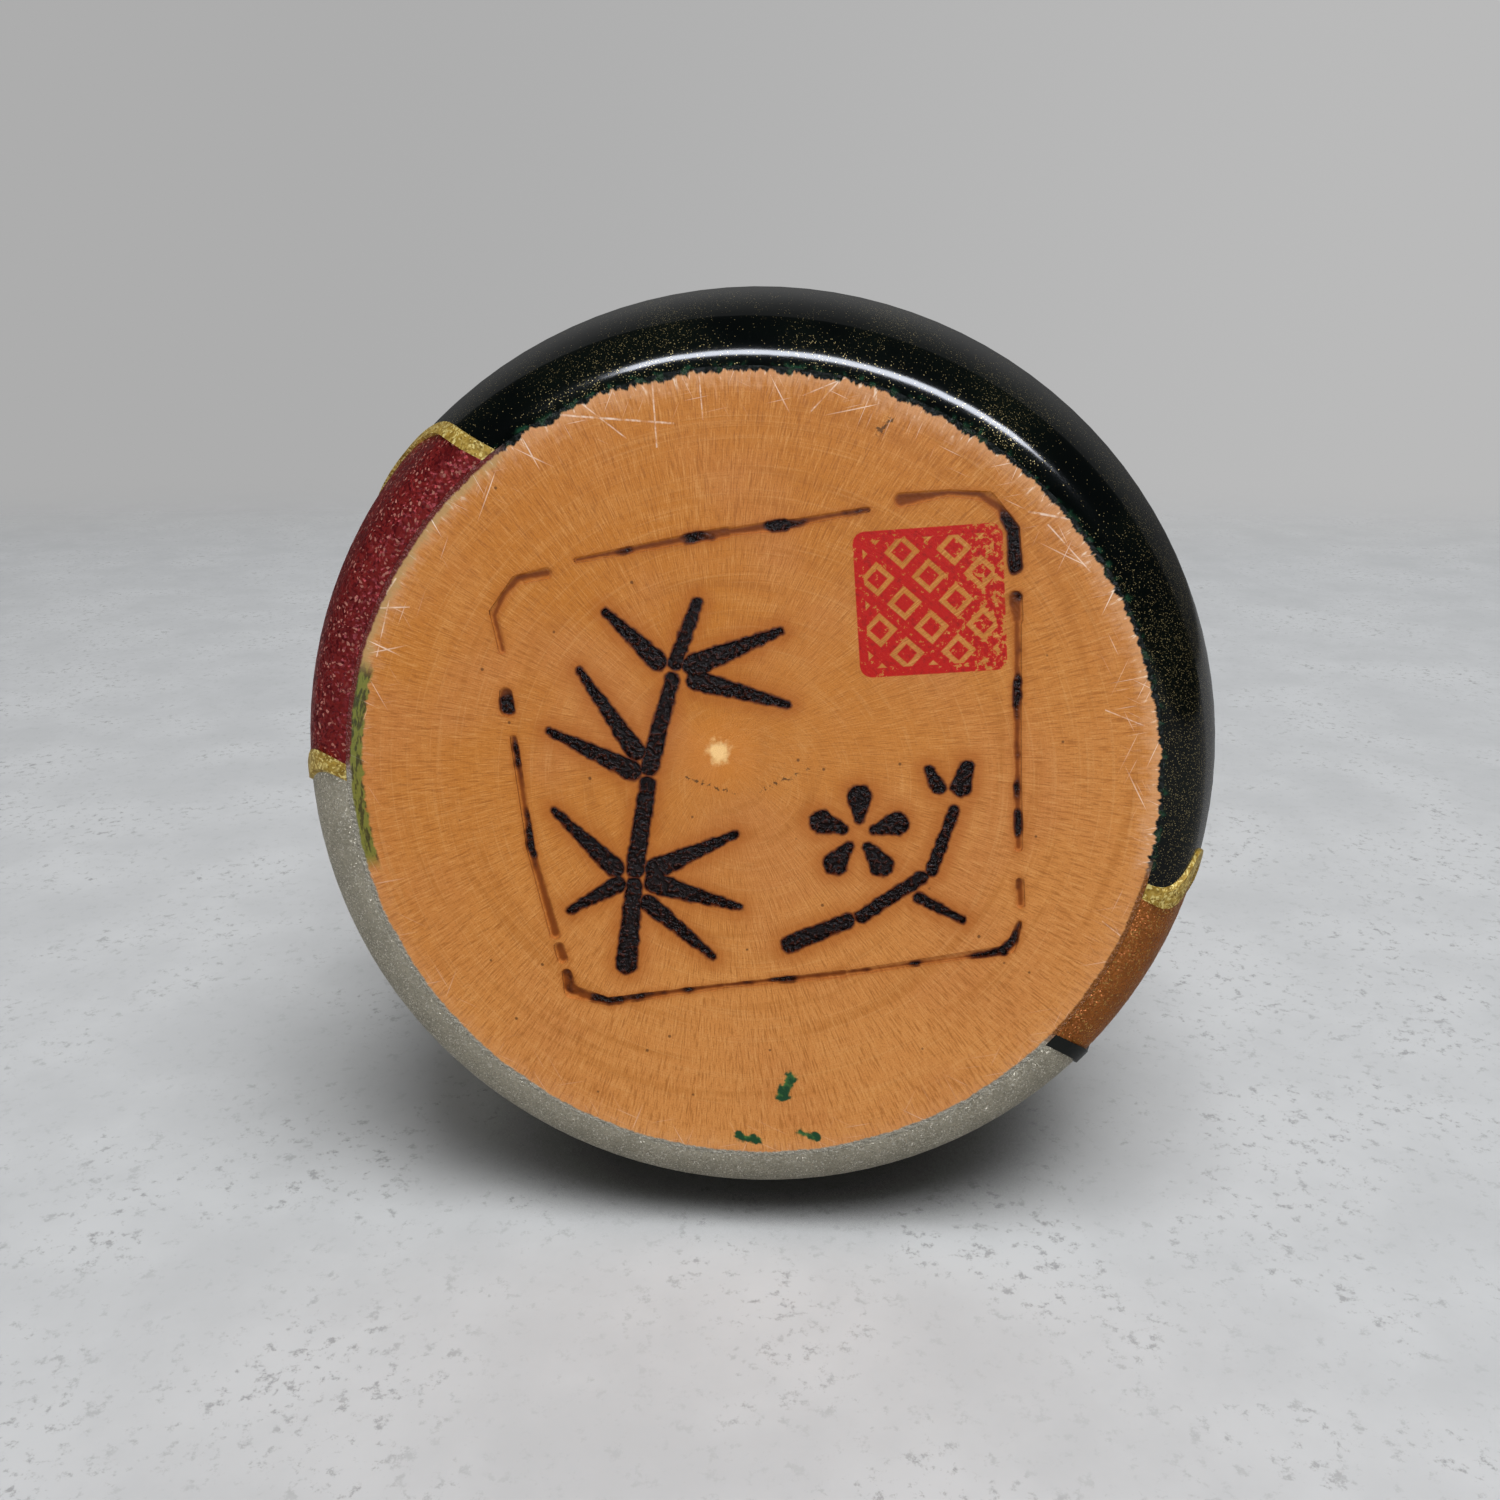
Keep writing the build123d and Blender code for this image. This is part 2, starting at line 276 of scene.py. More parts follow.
# strokes in mm: each end and its half-width, or both ends and then one half-width
frameStrokes = [
    (-24.3, 13.6, 0.35, -25.0, 17.0, 0.40),
    (-25.0, 17.0, 0.40, -24.0, 19.15, 0.45),
    (-24.0, 19.15, 0.45, -22.4, 20.8, 0.50),
    (-22.4, 20.8, 0.50, -19.6, 21.3, 0.50),
    (-16.6, 22.6, 0.30, -6.0, 24.7, 0.50),
    (-6.0, 24.7, 0.55, -2.0, 25.4, 0.60),
    (-2.0, 25.4, 0.40, 3.6, 26.2, 0.60),
    (3.6, 26.2, 0.45, 11.4, 27.7, 0.30),
    (14.6, 28.6, 0.75, 19.0, 29.3, 0.35),
    (19.0, 29.3, 0.35, 21.8, 29.2, 0.45),
    (21.8, 29.2, 0.45, 23.9, 27.9, 0.55),
    (23.9, 27.9, 0.55, 25.2, 25.8, 0.60),
    (25.2, 25.8, 0.60, 25.5, 22.4, 0.70),
    (25.6, 19.4, 0.75, 25.9, 17.4, 0.60),
    (25.9, 17.4, 0.45, 26.6, 3.0, 0.40),
    (26.6, 3.0, 0.40, 27.1, -5.6, 0.45),
    (27.4, -9.2, 0.45, 27.6, -11.6, 0.45),
    (27.6, -13.6, 0.30, 27.2, -15.4, 0.50),
    (27.2, -15.4, 0.50, 26.1, -16.65, 0.55),
    (26.1, -16.65, 0.40, 24.2, -17.2, 0.25),
    (24.2, -17.2, 0.25, 10.0, -19.7, 0.28),
    (10.0, -19.7, 0.45, -2.6, -21.5, 0.30),
    (-2.6, -21.5, 0.35, -14.6, -23.6, 0.45),
    (-14.6, -23.6, 0.40, -17.2, -23.1, 0.60),
    (-17.2, -23.1, 0.60, -18.7, -22.2, 0.75),
    (-18.7, -22.2, 0.75, -19.0, -20.6, 0.55),
    (-19.3, -18.9, 0.60, -19.6, -17.7, 0.60),
    (-20.0, -16.2, 0.60, -22.2, -7.0, 0.45),
    (-22.2, -7.0, 0.45, -23.5, 4.6, 0.40),
    (-24.0, 7.6, 0.75, -24.1, 9.2, 0.70),
]
# the iron ran light past these: a direction, and how far out along it
lightCorners = [((0, 1, 0), 26.5), ((-0.7, 0.7, 0), 24.0)]
bambooStrokes = [
    (-12.6, -19.4, 1.00, -11.6, -10.6, 0.75),
    (-11.5, -8.9, 0.85, -10.0, 0.2, 0.70),
    (-9.8, 1.9, 0.80, -7.4, 11.0, 0.60),
    (-7.1, 12.6, 0.65, -4.9, 18.6, 0.45),
    (-9.3, -8.8, 1.05, -1.2, -4.9, 0.30),
    (-9.4, -10.4, 1.10, -0.9, -12.7, 0.30),
    (-10.1, -12.6, 0.90, -3.6, -18.2, 0.30),
    (-13.6, -8.8, 0.95, -19.6, -2.9, 0.30),
    (-13.3, -10.6, 0.80, -18.4, -13.6, 0.30),
    (-11.7, 1.6, 1.00, -19.8, 5.4, 0.30),
    (-11.2, 3.6, 0.90, -16.6, 11.6, 0.30),
    (-5.2, 12.4, 1.10, 3.2, 15.9, 0.30),
    (-5.0, 10.9, 0.95, 3.9, 8.6, 0.30),
    (-8.9, 12.8, 0.90, -13.9, 17.6, 0.30),
]
plumStrokes = [
    (4.4, -16.6, 0.85, 10.2, -13.9, 0.70),
    (11.6, -13.4, 0.60, 17.6, -9.0, 0.60),
    (18.6, -8.2, 0.55, 20.6, -1.9, 0.45),
    (17.4, -11.2, 0.50, 21.8, -13.4, 0.30),
    (21.2, 0.6, 0.95, 21.7, 2.6, 0.60),
    (19.0, 0.4, 0.60, 18.0, 2.2, 0.40),
]
blossom = {"centre": (11.2, -4.6), "petals": 5, "start": 1.6, "end": 3.9, "halfWidths": (0.40, 1.15)}
for petal in range(blossom["petals"]):
    angle = math.radians(90 + 360 / blossom["petals"] * petal)
    out = Vector((math.cos(angle), math.sin(angle)))
    plumStrokes.append(
        (*(Vector(blossom["centre"]) + out * blossom["start"]), blossom["halfWidths"][0],
         *(Vector(blossom["centre"]) + out * blossom["end"]), blossom["halfWidths"][1])
    )
# dents and scratches near the rim
scratches = [
    (-20.0, 36.5, -7.0, 35.6, 0.10),
    (-17.0, 38.4, -11.5, 34.2, 0.07),
    (-9.0, 40.4, -8.6, 33.4, 0.08),
    (-4.6, 41.0, -4.2, 36.0, 0.07),
    (6.0, 36.8, 9.4, 40.4, 0.07),
    (9.6, 40.0, 5.2, 38.2, 0.06),
    (26.6, 27.6, 31.4, 26.8, 0.11),
    (28.4, 26.4, 32.6, 22.0, 0.07),
    (-34.6, 20.6, -39.4, 14.0, 0.09),
    (-33.4, 17.8, -38.2, 17.6, 0.07),
    (-37.0, 12.8, -35.4, 18.4, 0.06),
    (-31.2, 29.2, -27.0, 33.6, 0.07),
    (35.8, -13.2, 38.6, -15.4, 0.06),
    (31.5, -28.6, 35.2, -25.4, 0.07),
    (34.8, 8.6, 38.9, 7.0, 0.06),
]
speckRows = [
    (-6.0, 0.9, -1.4, -0.6, 0.16),
    (1.2, -0.2, 6.0, 2.0, 0.12),
    (8.2, -3.6, 9.4, -4.3, 0.22),
    (12.4, 35.0, 13.4, 36.0, 0.35),
]
greenDabs = [
    (3.6, -33.8, 4.6, -31.6, 0.75),
    (-1.0, -38.6, 1.2, -39.0, 0.55),
    (5.6, -38.0, 7.4, -38.6, 0.50),
    (12.6, -36.4, 13.4, -36.0, 0.30),
]


def basePlan(tree):
    # millimetres on the base as it lies: x to the right, y up
    where = addNode(tree, "TexCoord", output="Object")
    turn = (0, 0, math.radians(lie["upAngle"] + 90))
    return addNode(tree, "Mapping", {"Vector": where, "Scale": (perMm, -perMm, 0.0), "Rotation": turn})


def strokeDistance(tree, flat, stroke):
    # distance in mm from a stroke, negative inside it
    start, end = Vector((*stroke[:2], 0)), Vector((*stroke[-3:-1], 0))
    startHalf, endHalf = stroke[2] if len(stroke) == 6 else stroke[-1], stroke[-1]
    along = end - start
    offset = addNode(tree, "VectorMath", [flat, start], operation="SUBTRACT")
    share = addNode(tree, "VectorMath", [offset, along / along.length_squared],
                    operation="DOT_PRODUCT", output="Value")
    # a Clamp node, as a clamped Math node makes Cycles run out of room with this many strokes
    share = addNode(tree, "Clamp", [share])
    nearest = addNode(tree, "VectorMath", {"Vector": along, "Scale": share}, operation="SCALE")
    gap = addNode(tree, "VectorMath", [offset, nearest], operation="DISTANCE", output="Value")
    half = addNode(tree, "Math", [share, endHalf - startHalf, startHalf], operation="MULTIPLY_ADD")
    return addNode(tree, "Math", [gap, half], operation="SUBTRACT")


def strokesDistance(tree, flat, strokes):
    nearest = None
    for stroke in strokes:
        gap = strokeDistance(tree, flat, stroke)
        nearest = gap if nearest is None else addNode(tree, "Math", [nearest, gap], operation="MINIMUM")
    return nearest


def polarNoise(tree, outward, radius, around, along, detail):
    # streaks that run out from a centre: cells to the radian round it, and to the millimetre outwards
    drift = addNode(tree, "CombineXYZ", {"Z": addNode(tree, "Math", [radius, along], operation="MULTIPLY")})
    where = addNode(tree, "VectorMath", [outward, (around,) * 3, drift], operation="MULTIPLY_ADD")
    return addNode(tree, "TexNoise", {"Vector": where, "Scale": 1.0, "Detail": detail, "Roughness": 0.6})


def baseEdge(tree, plan):
    # how far beyond the lacquer's ragged lower edge a point lies, in mm, negative on bare wood
    radius = addNode(tree, "VectorMath", [plan], operation="LENGTH", output="Value")
    outward = addNode(tree, "VectorMath", [plan], operation="NORMALIZE")
    tooth = polarNoise(tree, outward, radius, base["edgeTeeth"], 0.5, 3.0)
    wave = addNode(tree, "TexNoise", {"Vector": plan, "Scale": 0.32, "Detail": 2.0})
    ragged = addNode(tree, "Math", [tooth, wave], operation="ADD")
    ragged = addNode(tree, "Math", [ragged, 1.0], operation="SUBTRACT")
    wear = ramp(tree, sector(tree, outward, "dark"), 0.0, 1.0, *base["edgeWear"])
    edge = addNode(tree, "Math", [ragged, wear, base["lacquerEdge"]], operation="MULTIPLY_ADD")
    return addNode(tree, "Math", [radius, edge], operation="SUBTRACT"), radius, outward


# the lacquers that meet the base, as angles counterclockwise from the right as it lies
# middle and half-width of each
sectors = {"dark": (57.9, 68.4), "red": (152.0, 26.0), "green": (178.0, 15.0), "copper": (334.7, 14.7)}
sectorBlur = 0.03  # radians


def sector(tree, outward, name):
    middle, half = (math.radians(a) for a in sectors[name])
    towards = Vector((math.cos(middle), math.sin(middle), 0))
    facing = addNode(tree, "VectorMath", [outward, towards], operation="DOT_PRODUCT", output="Value")
    return ramp(tree, facing, math.cos(half + sectorBlur), math.cos(half - sectorBlur))


def longGrain(tree, where):
    # dogwood cut along the log: fine straight streaks
    streaks = addNode(tree, "Mapping", {"Vector": where, "Scale": (1.6 * perMm, 1.6 * perMm, 0.05 * perMm)})
    fine = addNode(tree, "TexNoise", {"Vector": streaks, "Scale": 1.0, "Detail": 3.0})
    broad = addNode(tree, "Mapping", {"Vector": where, "Scale": (0.16 * perMm, 0.16 * perMm, 0.012 * perMm)})
    wide = addNode(tree, "TexNoise", {"Vector": broad, "Scale": 1.0, "Detail": 2.0})
    light = blend(tree, ramp(tree, wide, 0.35, 0.65), "#e2c69c", "#ead2ab")
    return blend(tree, ramp(tree, fine, 0.45, 0.75, 0.0, 0.35), light, "#c9a36f"), fine


def endGrain(tree, plan, radius, outward):
    # returns the wood's colour and its relief
    fromPith = addNode(tree, "VectorMath", [plan, base["pith"]], operation="SUBTRACT")
    pithRadius = addNode(tree, "VectorMath", [fromPith], operation="LENGTH", output="Value")
    pithOutward = addNode(tree, "VectorMath", [fromPith], operation="NORMALIZE")
    broadRays = polarNoise(tree, pithOutward, pithRadius, 48.0, 0.10, 2.0)
    fineRays = polarNoise(tree, pithOutward, pithRadius, 205.0, 0.62, 2.0)
    yearRings = polarNoise(tree, pithOutward, pithRadius, 0.9, 0.55, 2.5)
    latheLines = polarNoise(tree, outward, radius, 2.5, 4.2, 2.0)
    blotches = addNode(tree, "TexNoise", {"Vector": plan, "Scale": 0.06, "Detail": 2.0})
    fibres = addNode(tree, "TexNoise", {"Vector": plan, "Scale": 5.5, "Detail": 2.0})
    lower = addNode(tree, "VectorMath", [plan, (0.35, -0.94, 0)], operation="DOT_PRODUCT", output="Value")
    tatter = addNode(tree, "TexNoise", {"Vector": plan, "Scale": 1.1, "Detail": 3.0})
    pithEdge = addNode(tree, "Math", [tatter, 2.6, pithRadius], operation="MULTIPLY_ADD")
    wood = blend(tree, ramp(tree, pithRadius, 4.0, 42.0), "#b66f22", "#b8742f")
    # each pattern tints it from one value to the other, up to a share
    for pattern, low, high, share, tint in (
        (lower, -30.0, 40.0, 0.8, "#c8874a"),
        (blotches, 0.42, 0.66, 0.7, "#bb7840"),
        (yearRings, 0.52, 0.68, 0.40, "#a46324"),
        (yearRings, 0.46, 0.34, 0.22, "#c98c4a"),
        (broadRays, 0.5, 0.74, 0.13, "#cf965a"),
        (fineRays, 0.5, 0.70, 0.66, "#935621"),
        (fineRays, 0.48, 0.30, 0.36, "#d6a061"),
        (latheLines, 0.52, 0.72, 0.18, "#d6a468"),
        (fibres, 0.52, 0.72, 0.40, "#8f521f"),
        (pithEdge, 7.0, 2.6, 0.35, "#cf7d2c"),
        (pithEdge, 2.9, 1.7, 1.0, "#f3c887"),
    ):
        wood = blend(tree, ramp(tree, pattern, low, high, 0.0, share), wood, tint)

    # pores and a few specks of dirt
    pores = addNode(tree, "TexVoronoi", {"Vector": plan, "Scale": 0.38}, output="Distance")
    poreKind = addNode(tree, "TexVoronoi", {"Vector": plan, "Scale": 0.38}, output="Color")
    chosen = ramp(tree, addNode(tree, "SeparateXYZ", [poreKind]), 0.66, 0.70)
    pore = addNode(tree, "Math", [ramp(tree, pores, 0.085, 0.045), chosen], operation="MULTIPLY")
    wood = blend(tree, addNode(tree, "Math", [pore, 0.75], operation="MULTIPLY"), wood, "#4e2d14")
    frayed = addNode(tree, "TexNoise", {"Vector": plan, "Scale": 2.6, "Detail": 2.0})
    specks = addNode(tree, "Math", [frayed, 2.2, strokesDistance(tree, plan, speckRows)],
                     operation="MULTIPLY_ADD")
    wood = blend(tree, ramp(tree, specks, 1.05, 0.75, 0.0, 0.8), wood, "#3d2a18")

    relief = addNode(tree, "Math", [fibres, fineRays], operation="ADD")
    return wood, addNode(tree, "Math", [latheLines, 1.4, relief], operation="MULTIPLY_ADD")


def rimWear(tree, wood, plan, beyond, radius, outward):
    # scuffed fringe of raised fibres along the lacquer, and scratches
    inDark, inRed = (sector(tree, outward, name) for name in ("dark", "red"))
    scuffed = addNode(tree, "Math", [inDark, inRed], operation="MAXIMUM")
    fibres = polarNoise(tree, outward, radius, 120.0, 0.8, 2.0)
    frays = addNode(tree, "TexNoise", {"Vector": plan, "Scale": 0.8, "Detail": 5.0, "Roughness": 0.7})
    fringe = addNode(tree, "Math", [addNode(tree, "Math", [fibres, frays], operation="ADD"), 3.2, beyond],
                     operation="MULTIPLY_ADD")
    fringe = ramp(tree, fringe, 3.2 - base["paleFringe"], 3.3, 0.0, 0.5)
    fringe = addNode(tree, "Math", [fringe, ramp(tree, scuffed, 0.0, 1.0, 0.25, 1.0)], operation="MULTIPLY")
    wood = blend(tree, fringe, wood, "#d6a57c")
    fuzz = addNode(tree, "Math", [ramp(tree, fibres, 0.60, 0.72), ramp(tree, beyond, -1.4, -0.2)],
                   operation="MULTIPLY")
    fuzz = addNode(tree, "Math", [fuzz, ramp(tree, scuffed, 0.0, 1.0, 0.1, 0.75)], operation="MULTIPLY")
    wood = blend(tree, fuzz, wood, "#eedcc6")
    olive = addNode(tree, "Math", [frays, 2.2, beyond], operation="MULTIPLY_ADD")
    olive = addNode(tree, "Math", [ramp(tree, olive, -0.1, 1.0, 0.0, 0.6), inRed], operation="MULTIPLY")
    wood = blend(tree, olive, wood, "#9d8a58")

    nicks = 0.0
    for turn in (12.0, 68.0, -62.0, -25.0):
        along = addNode(tree, "Mapping", {
            "Vector": plan, "Rotation": (0, 0, math.radians(turn)), "Scale": (7.0, 0.20, 1)},
            vector_type="TEXTURE")
        nick = addNode(tree, "TexNoise", {"Vector": along, "Scale": 1.0, "Detail": 0.0})
        nicks = addNode(tree, "Math", [nicks, ramp(tree, nick, 0.755, 0.82)], operation="MAXIMUM")
    near = addNode(tree, "Math", [ramp(tree, beyond, -4.5, -0.5), ramp(tree, scuffed, 0.0, 1.0, 0.3, 1.0)],
                   operation="MULTIPLY")
    nicks = addNode(tree, "Math", [nicks, near], operation="MULTIPLY")
    broken = ramp(tree, frays, 0.38, 0.62, 0.1, 0.9)
    scratched = ramp(tree, strokesDistance(tree, plan, scratches), 0.03, -0.06)
    scratched = addNode(tree, "Math", [scratched, broken], operation="MULTIPLY")
    scratched = addNode(tree, "Math", [scratched, nicks], operation="MAXIMUM")
    scratched = addNode(tree, "Math", [scratched, 0.8], operation="MULTIPLY")
    return blend(tree, scratched, wood, "#f2dfce")


def stampInk(tree, plan):
    # a worn red diamond lattice in a border; returns where the ink is, and where it lies thick
    straight = stamp["size"] / 2 - stamp["corner"]
    size = addNode(tree, "VectorMath", [plan], operation="ABSOLUTE")
    corner = addNode(tree, "VectorMath", [size, (straight, straight, 0)], operation="SUBTRACT")
    outside = addNode(tree, "VectorMath", [corner, (0, 0, 0)], operation="MAXIMUM")
    rim = addNode(tree, "VectorMath", [outside], operation="LENGTH", output="Value")
    x, y = (addNode(tree, "SeparateXYZ", [corner], output=o) for o in "XY")
    inner = addNode(tree, "Math", [x, y], operation="MAXIMUM")
    inner = addNode(tree, "Math", [inner, 0.0], operation="MINIMUM")
    edge = addNode(tree, "Math", [rim, inner], operation="ADD")
    edge = addNode(tree, "Math", [edge, stamp["corner"]], operation="SUBTRACT")
    border = ramp(tree, addNode(tree, "Math", [edge, stamp["border"]], operation="ADD"), -0.50, -0.40)
    diagonal = addNode(tree, "Mapping", {
        "Vector": plan, "Rotation": (0, 0, math.radians(45)), "Scale": (1 / stamp["cell"],) * 3})
    cell = addNode(tree, "VectorMath", [diagonal], operation="FRACTION")
    cell = addNode(tree, "VectorMath", [cell, (0.5, 0.5, 0.5)], operation="SUBTRACT")
    cell = addNode(tree, "VectorMath", [cell], operation="ABSOLUTE")
    x, y = (addNode(tree, "SeparateXYZ", [cell], output=o) for o in "XY")
    reach = addNode(tree, "Math", [x, y], operation="MAXIMUM")
    lattice = addNode(tree, "Math", [ramp(tree, reach, 0.32, 0.36), ramp(tree, reach, 0.22, 0.18)],
                      operation="MAXIMUM")
    printed = addNode(tree, "Math", [border, lattice], operation="MAXIMUM")
    printed = addNode(tree, "Math", [printed, ramp(tree, edge, 0.06, -0.06)], operation="MULTIPLY")
    # pressed harder at the left
    worn = addNode(tree, "TexNoise", {"Vector": plan, "Scale": 1.5, "Detail": 5.0, "Roughness": 0.7})
    lifted = ramp(tree, addNode(tree, "SeparateXYZ", [plan]), 0.0, 7.0, 0.0, 0.075)
    bite = ramp(tree, addNode(tree, "Math", [worn, lifted], operation="SUBTRACT"), 0.37, 0.42)
    ink = addNode(tree, "Math", [printed, bite], operation="MULTIPLY")
    return addNode(tree, "Math", [ink, 0.96], operation="MULTIPLY"), ramp(tree, worn, 0.5, 0.7)


def burned(tree, wood, plan):
    # a scorched halo, then glossy char that breaks off to brown where the iron ran light
    # returns the colour, where the char lies and how it blistered
    wobble = addNode(tree, "TexNoise", {"Vector": plan, "Scale": 1.1, "Detail": 2.0})
    wobble = addNode(tree, "Math", [wobble, 0.55, -0.275], operation="MULTIPLY_ADD")
    line = addNode(tree, "Math", [wobble, 0.55, strokesDistance(tree, plan, frameStrokes)],
                   operation="MULTIPLY_ADD")
    motif = strokesDistance(tree, plan, bambooStrokes + plumStrokes)
    motif = addNode(tree, "Math", [motif, wobble], operation="ADD")
    pressure = addNode(tree, "TexNoise", {"Vector": plan, "Scale": 0.22, "Detail": 2.0})
    light = ramp(tree, pressure, 0.62, 0.44)
    for corner, start in lightCorners:
        toCorner = addNode(tree, "VectorMath", [plan, corner], operation="DOT_PRODUCT", output="Value")
        light = addNode(tree, "Math", [light, ramp(tree, toCorner, start, start + 2)], operation="MAXIMUM")
    line = addNode(tree, "Math", [light, 0.30, line], operation="MULTIPLY_ADD")

    halo = ramp(tree, line, 0.9, 0.0, 0.0, 0.5)
    halo = addNode(tree, "Math", [halo, ramp(tree, motif, 2.2, 0.1, 0.0, 0.6)], operation="MAXIMUM")
    wood = blend(tree, halo, wood, "#9c5316")
    scorch = addNode(tree, "Math", [ramp(tree, line, 0.22, -0.06), ramp(tree, motif, 0.38, 0.04)],
                     operation="MAXIMUM")
    browned = addNode(tree, "Math", [light, ramp(tree, motif, 0.4, 1.0)], operation="MULTIPLY")
    wood = blend(tree, scorch, wood, blend(tree, browned, "#4e1d07", "#80400f"))
    char = addNode(tree, "Math", [ramp(tree, line, -0.02, -0.18), ramp(tree, light, 0.0, 1.0, 1.0, 0.15)],
                   operation="MULTIPLY")
    char = addNode(tree, "Math", [char, ramp(tree, motif, 0.10, -0.02)], operation="MAXIMUM")
    blister = addNode(tree, "TexNoise", {"Vector": plan, "Scale": 2.2, "Detail": 4.0})
    charred = blend(tree, ramp(tree, blister, 0.48, 0.70), "#0b0504", "#3b170b")
    return blend(tree, char, wood, charred), char, blister


def strayLacquer(tree, wood, plan, beyond, radius, outward):
    # what the lacquer left over the rim, and stray dabs of its green undercoat
    # returns the colour, and where it lies over the rim
    inDark, inRed, inGreen, inCopper = (
        sector(tree, outward, name) for name in ("dark", "red", "green", "copper"))
    fray = addNode(tree, "TexNoise", {"Vector": plan, "Scale": 0.9, "Detail": 4.0})
    streaked = polarNoise(tree, outward, radius, 30.0, 2.5, 2.0)
    green = addNode(tree, "Math", [fray, 1.3, beyond], operation="MULTIPLY_ADD")
    green = addNode(tree, "Math", [ramp(tree, green, -0.75, -0.45, 0.0, 0.9), inGreen], operation="MULTIPLY")
    wood = blend(tree, green, wood, blend(tree, ramp(tree, streaked, 0.46, 0.60), "#66702f", "#163018"))
    dab = addNode(tree, "Math", [fray, 2.4, strokesDistance(tree, plan, greenDabs)],
                  operation="MULTIPLY_ADD")
    dabbed = blend(tree, ramp(tree, fray, 0.45, 0.6), "#1b3f26", "#3d6636")
    wood = blend(tree, ramp(tree, dab, 1.25, 0.9), wood, dabbed)
    undercoat = blend(tree, ramp(tree, fray, 0.52, 0.66), "#0a100d", "#1e3421")
    lacquer = blend(tree, inDark, "#8b877b", undercoat)
    lacquer = blend(tree, inRed, lacquer, "#642a26")
    lacquer = blend(tree, inCopper, lacquer, "#7a4b24")
    over = ramp(tree, beyond, -0.12, 0.12)
    return blend(tree, over, wood, lacquer), over


def turnedBase():
    # end grain of a waxed log: satin, crossed by rays from the pith and by lathe lines round the middle
    material, tree = startMaterial("waxed_end_grain_dogwood")
    plan = basePlan(tree)
    beyond, radius, outward = baseEdge(tree, plan)
    wood, relief = endGrain(tree, plan, radius, outward)
    wood = rimWear(tree, wood, plan, beyond, radius, outward)
    stampPlan = addNode(tree, "Mapping", {
        "Vector": plan, "Location": stamp["place"], "Rotation": (0, 0, math.radians(stamp["turn"]))},
        vector_type="TEXTURE")
    inked, thick = stampInk(tree, stampPlan)
    wood = blend(tree, inked, wood, blend(tree, thick, *stamp["inks"]))
    wood, char, blister = burned(tree, wood, plan)
    wood, over = strayLacquer(tree, wood, plan, beyond, radius, outward)

    # the neck stub shows the log's long grain
    where = addNode(tree, "TexCoord", output="Object")
    height = addNode(tree, "SeparateXYZ", [where], output="Z")
    neck = addNode(tree, "Math", [height, 0.05], operation="GREATER_THAN")
    side, _ = longGrain(tree, where)
    wood = blend(tree, neck, wood, side)

    # the grain and the char are bumped apart, as a bump repeats whatever it reads twice
    gloss = addNode(tree, "Math", [char, over], operation="MAXIMUM")
    grained = addNode(tree, "Bump", {
        "Strength": 1.0, "Distance": base["grainDepth"] / perMm, "Height": relief})
    blistered = addNode(tree, "Bump", {
        "Strength": 1.0, "Distance": base["charDepth"] / perMm, "Height": blister})
    normal = addNode(tree, "Mix", {0: gloss, 4: grained, 5: blistered}, output=1, data_type="VECTOR")
    finishMaterial(tree, addNode(tree, "BsdfPrincipled", {
        "Base Color": wood, "Roughness": ramp(tree, gloss, 0.0, 1.0, 0.5, 0.22), "Normal": normal,
        "IOR": 1.48, "Specular IOR Level": 0.3}))
    return material


lacquer = {
    "footHeight": 20.0,  # below this it is worn as the base shows it
    "undercoat": "#1c3d2b",
    "bareWood": "#cf9c6b",
    "dust": ("#2a2413", "#ccb880"),  # of gold, in the black
    "dustFlake": 0.12,
    "dustiest": Vector((math.cos(math.radians(-30)), math.sin(math.radians(-30)), 0)),  # on the doll's left
    "gilt": ("#b98f3a", "#efd587"),  # of the plum branch
}


def foot(tree, colour):
    # the lacquer's lower edge: bare scuffed wood under it, then a seam of green undercoat
    # returns the colour, and where the wood is bare
    plan = basePlan(tree)
    beyond, _, outward = baseEdge(tree, plan)
    height = addNode(tree, "SeparateXYZ", [addNode(tree, "TexCoord", output="Object")], output="Z")
    low = addNode(tree, "Math", [height, lacquer["footHeight"] / perMm], operation="LESS_THAN")
    fray = addNode(tree, "TexNoise", {"Vector": plan, "Scale": 0.9, "Detail": 4.0})
    seam = addNode(tree, "Math", [ramp(tree, beyond, 1.0, 0.3), ramp(tree, fray, 0.48, 0.62)],
                   operation="MULTIPLY")
    seam = addNode(tree, "Math", [seam, sector(tree, outward, "dark")], operation="MULTIPLY")
    seam = addNode(tree, "Math", [seam, low], operation="MULTIPLY")
    bare = addNode(tree, "Math", [ramp(tree, beyond, 0.12, -0.12), low], operation="MULTIPLY")
    colour = blend(tree, seam, colour, lacquer["undercoat"])
    return blend(tree, bare, colour, lacquer["bareWood"]), bare


def flecks(tree, where, millimetres, output="Color"):
    # cells the size of one flake: three random shares of each, or the distance from its middle
    scale = perMm / millimetres
    # stirred, or the rows of cells would show as rings where the lacquer curves
    stir = addNode(tree, "TexNoise", {"Vector": where, "Scale": scale / 7, "Detail": 0.0}, output="Color")
    stirred = addNode(tree, "VectorMath", [stir, (4 / scale,) * 3, where], operation="MULTIPLY_ADD")
    return addNode(tree, "TexVoronoi", {"Vector": stirred, "Scale": scale}, output=output)


